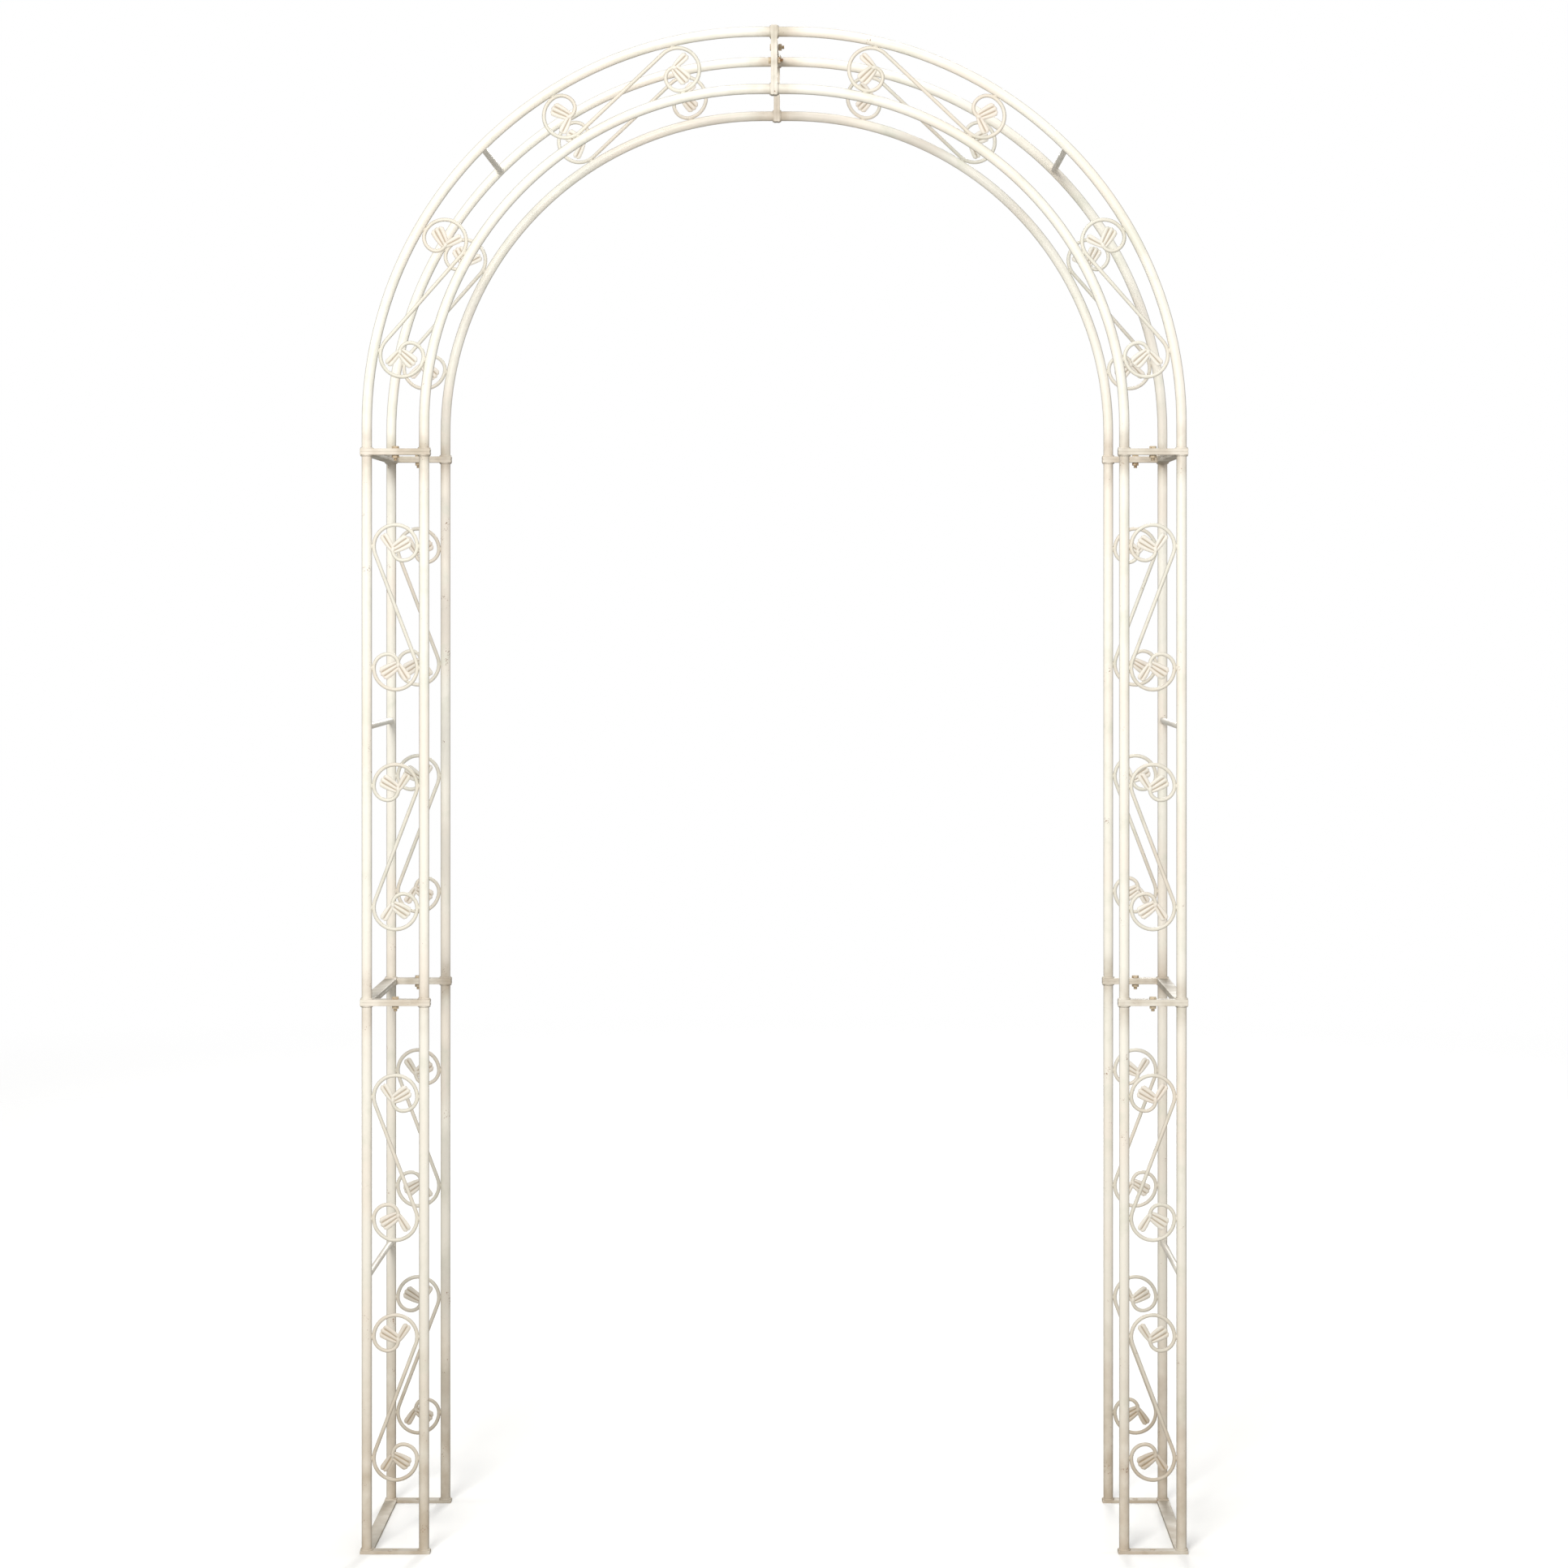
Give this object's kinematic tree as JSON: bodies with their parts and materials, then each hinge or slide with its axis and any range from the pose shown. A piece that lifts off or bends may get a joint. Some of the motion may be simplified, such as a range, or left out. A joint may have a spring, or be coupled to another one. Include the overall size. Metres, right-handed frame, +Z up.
{
  "type": "metal trellis arch",
  "caption": "Free-standing garden arch: box-section lattice legs and a rounded hoop of painted steel tube, with S-scrolls and folded leaves, bolted together in sections.",
  "frame": {"origin": "on the ground, in the middle of the passage between the two legs", "axes": "+Z up, +X to the right seen from the front, +Y from the front to the back, along the way a person walks through"},
  "size_m": [1.3, 0.37, 2.4],
  "materials": {
    "rail_paint": "aged antique cream paint on steel tube, matt, lightly distressed",
    "bar_paint": "aged antique cream paint on flat bar and round rod, matt, worn at edges",
    "wire_paint": "aged antique cream paint on round wire, matt",
    "leaf_paint": "aged antique cream paint with brown patina in the veins, matt",
    "bolt_paint": "painted steel fasteners with rust showing through"
  },
  "bodies": {
    "root": {"left_lower_leg_front_outer_rail": "rail_paint", "left_lower_leg_front_inner_rail": "rail_paint", "left_lower_leg_back_outer_rail": "rail_paint", "left_lower_leg_back_inner_rail": "rail_paint", "left_lower_leg_bottom_frame": "bar_paint", "left_lower_leg_top_frame": "bar_paint", "left_lower_leg_cross_rod": "bar_paint", "left_lower_leg_scrolls": "wire_paint", "left_lower_leg_leaves": "leaf_paint", "left_upper_leg_front_outer_rail": "rail_paint", "left_upper_leg_front_inner_rail": "rail_paint", "left_upper_leg_back_outer_rail": "rail_paint", "left_upper_leg_back_inner_rail": "rail_paint", "left_upper_leg_bottom_frame": "bar_paint", "left_upper_leg_top_frame": "bar_paint", "left_upper_leg_cross_rod": "bar_paint", "left_upper_leg_scrolls": "wire_paint", "left_upper_leg_leaves": "leaf_paint", "left_hoop_front_outer_rail": "rail_paint", "left_hoop_front_inner_rail": "rail_paint", "left_hoop_back_outer_rail": "rail_paint", "left_hoop_back_inner_rail": "rail_paint", "left_hoop_bottom_frame": "bar_paint", "left_hoop_crown_frame": "bar_paint", "left_hoop_cross_rod": "bar_paint", "left_hoop_scrolls": "wire_paint", "left_hoop_leaves": "leaf_paint", "right_lower_leg_front_outer_rail": "rail_paint", "right_lower_leg_front_inner_rail": "rail_paint", "right_lower_leg_back_outer_rail": "rail_paint", "right_lower_leg_back_inner_rail": "rail_paint", "right_lower_leg_bottom_frame": "bar_paint", "right_lower_leg_top_frame": "bar_paint", "right_lower_leg_cross_rod": "bar_paint", "right_lower_leg_scrolls": "wire_paint", "right_lower_leg_leaves": "leaf_paint", "right_upper_leg_front_outer_rail": "rail_paint", "right_upper_leg_front_inner_rail": "rail_paint", "right_upper_leg_back_outer_rail": "rail_paint", "right_upper_leg_back_inner_rail": "rail_paint", "right_upper_leg_bottom_frame": "bar_paint", "right_upper_leg_top_frame": "bar_paint", "right_upper_leg_cross_rod": "bar_paint", "right_upper_leg_scrolls": "wire_paint", "right_upper_leg_leaves": "leaf_paint", "right_hoop_front_outer_rail": "rail_paint", "right_hoop_front_inner_rail": "rail_paint", "right_hoop_back_outer_rail": "rail_paint", "right_hoop_back_inner_rail": "rail_paint", "right_hoop_bottom_frame": "bar_paint", "right_hoop_crown_frame": "bar_paint", "right_hoop_cross_rod": "bar_paint", "right_hoop_scrolls": "wire_paint", "right_hoop_leaves": "leaf_paint", "joint_bolts": "bolt_paint", "joint_nuts": "bolt_paint"}
  },
  "joints": []
}
